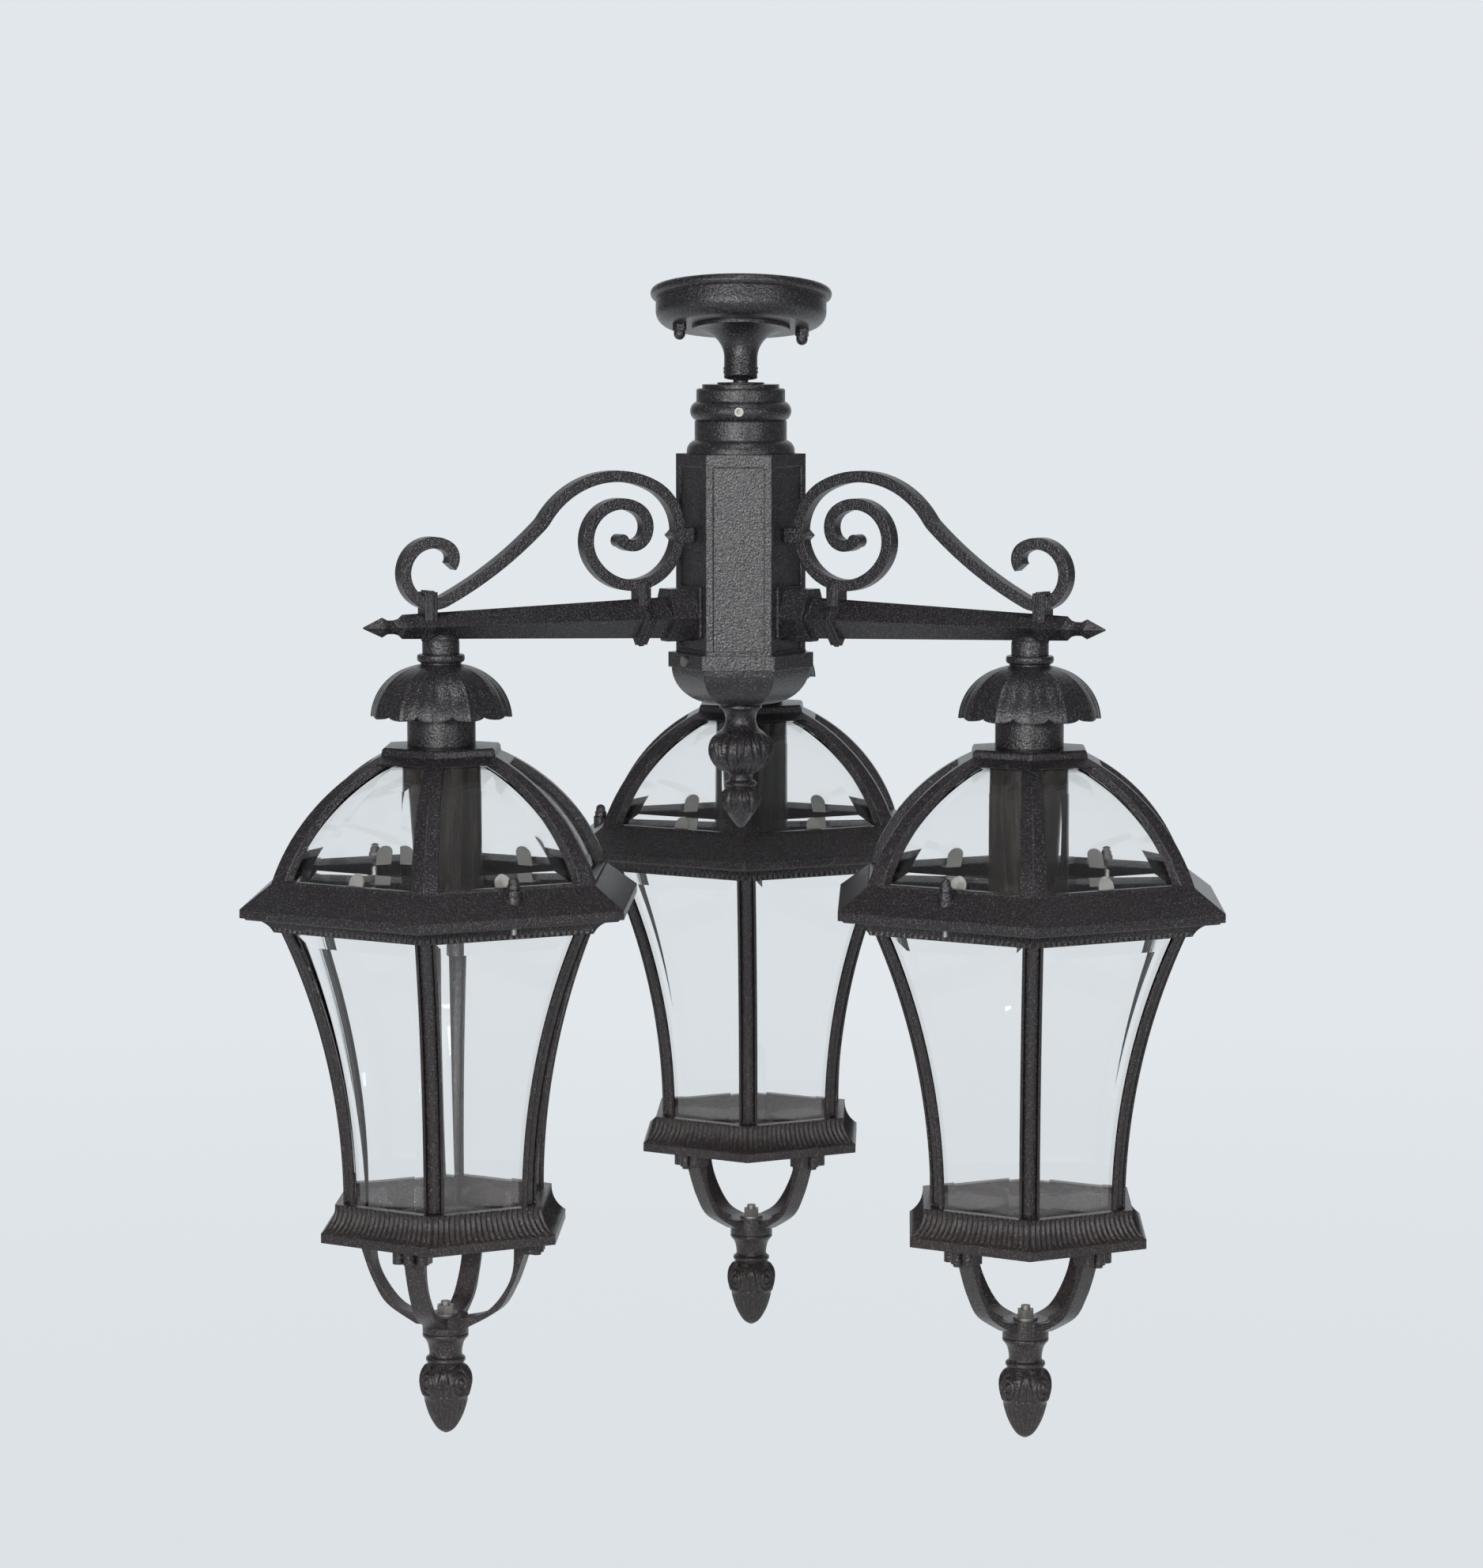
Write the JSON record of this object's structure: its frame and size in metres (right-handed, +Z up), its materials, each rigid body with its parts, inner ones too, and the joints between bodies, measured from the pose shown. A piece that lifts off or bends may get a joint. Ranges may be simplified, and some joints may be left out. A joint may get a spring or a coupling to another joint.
{
  "type": "outdoor ceiling light fixture",
  "caption": "Black cast outdoor ceiling light with a tilting canopy, a six-sided column, scrolled arms and six-sided bevelled-glass lanterns with petal caps and finials.",
  "frame": {"origin": "centre of the ceiling bracket's upper face", "axes": "+Z up along the plumb column, +Y towards the rear arm, +X to the right"},
  "size_m": [0.6208, 0.6078, 0.7391],
  "materials": {
    "black_casting": "matte black textured powder coat on cast aluminium",
    "plated_steel": "zinc plated",
    "clear_glass": "clear, bevelled edges",
    "gloss_black": "gloss",
    "white_plastic": "matt"
  },
  "bodies": {
    "canopy": {"ceiling_bracket": "plated_steel", "bracket_studs": "plated_steel", "canopy_dish": "black_casting", "canopy_cap_nuts": "black_casting", "trumpet_stem": "black_casting", "stem_washer": "plated_steel", "stem_locknut": "plated_steel", "swivel_pin": "plated_steel"},
    "fixture": {"swivel_stud": "plated_steel", "swivel_washer": "black_casting", "column_cap": "black_casting", "cap_set_screws": "plated_steel", "hex_column": "black_casting", "terminal_block": "white_plastic", "column_bowl": "black_casting", "bowl_screws": "plated_steel", "centre_finial": "black_casting", "arm_left": "black_casting", "arm_right": "black_casting", "arm_rear": "black_casting", "arm_bolts": "plated_steel", "petal_cap_left": "black_casting", "roof_frame_left": "black_casting", "dome_panes_left": "clear_glass", "top_rim_left": "black_casting", "cage_ribs_left": "black_casting", "base_plate_left": "black_casting", "body_panes_left": "clear_glass", "finial_left": "black_casting", "yoke_left": "black_casting", "petal_cap_right": "black_casting", "roof_frame_right": "black_casting", "dome_panes_right": "clear_glass", "top_rim_right": "black_casting", "cage_ribs_right": "black_casting", "base_plate_right": "black_casting", "body_panes_right": "clear_glass", "finial_right": "black_casting", "yoke_right": "black_casting", "petal_cap_rear": "black_casting", "roof_frame_rear": "black_casting", "dome_panes_rear": "clear_glass", "top_rim_rear": "black_casting", "cage_ribs_rear": "black_casting", "base_plate_rear": "black_casting", "body_panes_rear": "clear_glass", "finial_rear": "black_casting", "yoke_rear": "black_casting", "neck_tubes": "black_casting", "hanging_pipes": "plated_steel", "lamp_sleeves": "gloss_black", "lamp_holders": "gloss_black", "roof_studs": "plated_steel", "roof_cap_nuts": "black_casting", "pane_clips": "plated_steel", "finial_bolts": "plated_steel", "finial_nuts": "plated_steel", "yoke_screws": "plated_steel", "locknuts": "plated_steel"}
  },
  "joints": [
    {"name": "canopy_tilt", "type": "hinge", "parent": "canopy", "child": "fixture", "pos_m": [0, -0.00938, -0.05318], "axis": [1, 0, 0], "range_deg": [-25, 5]}
  ]
}
